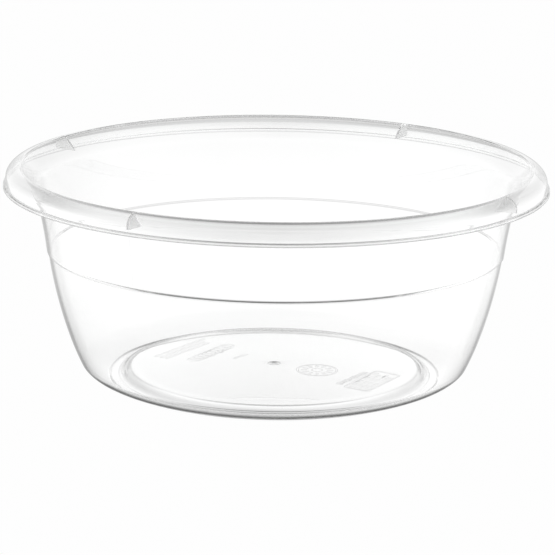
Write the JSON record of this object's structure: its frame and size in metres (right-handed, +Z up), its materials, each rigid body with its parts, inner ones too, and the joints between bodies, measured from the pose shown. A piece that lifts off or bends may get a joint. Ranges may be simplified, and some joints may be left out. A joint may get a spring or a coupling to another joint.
{
  "type": "round bath basin",
  "caption": "Round clear plastic baby bath basin with a rolled rim, a ledge round its wall and a raised base panel.",
  "frame": {"origin": "centre of the resting plane under the foot", "axes": "+Z up along the basin's turning axis, +X and +Y across it; the webs under the rim stand at 59, 149, 239 and 329 degrees from +X"},
  "size_m": [0.45, 0.45, 0.1794],
  "materials": {
    "clear_plastic": "clear, glossy, faintly hazy moulded plastic"
  },
  "bodies": {
    "root": {"basin": "clear_plastic"}
  },
  "joints": []
}
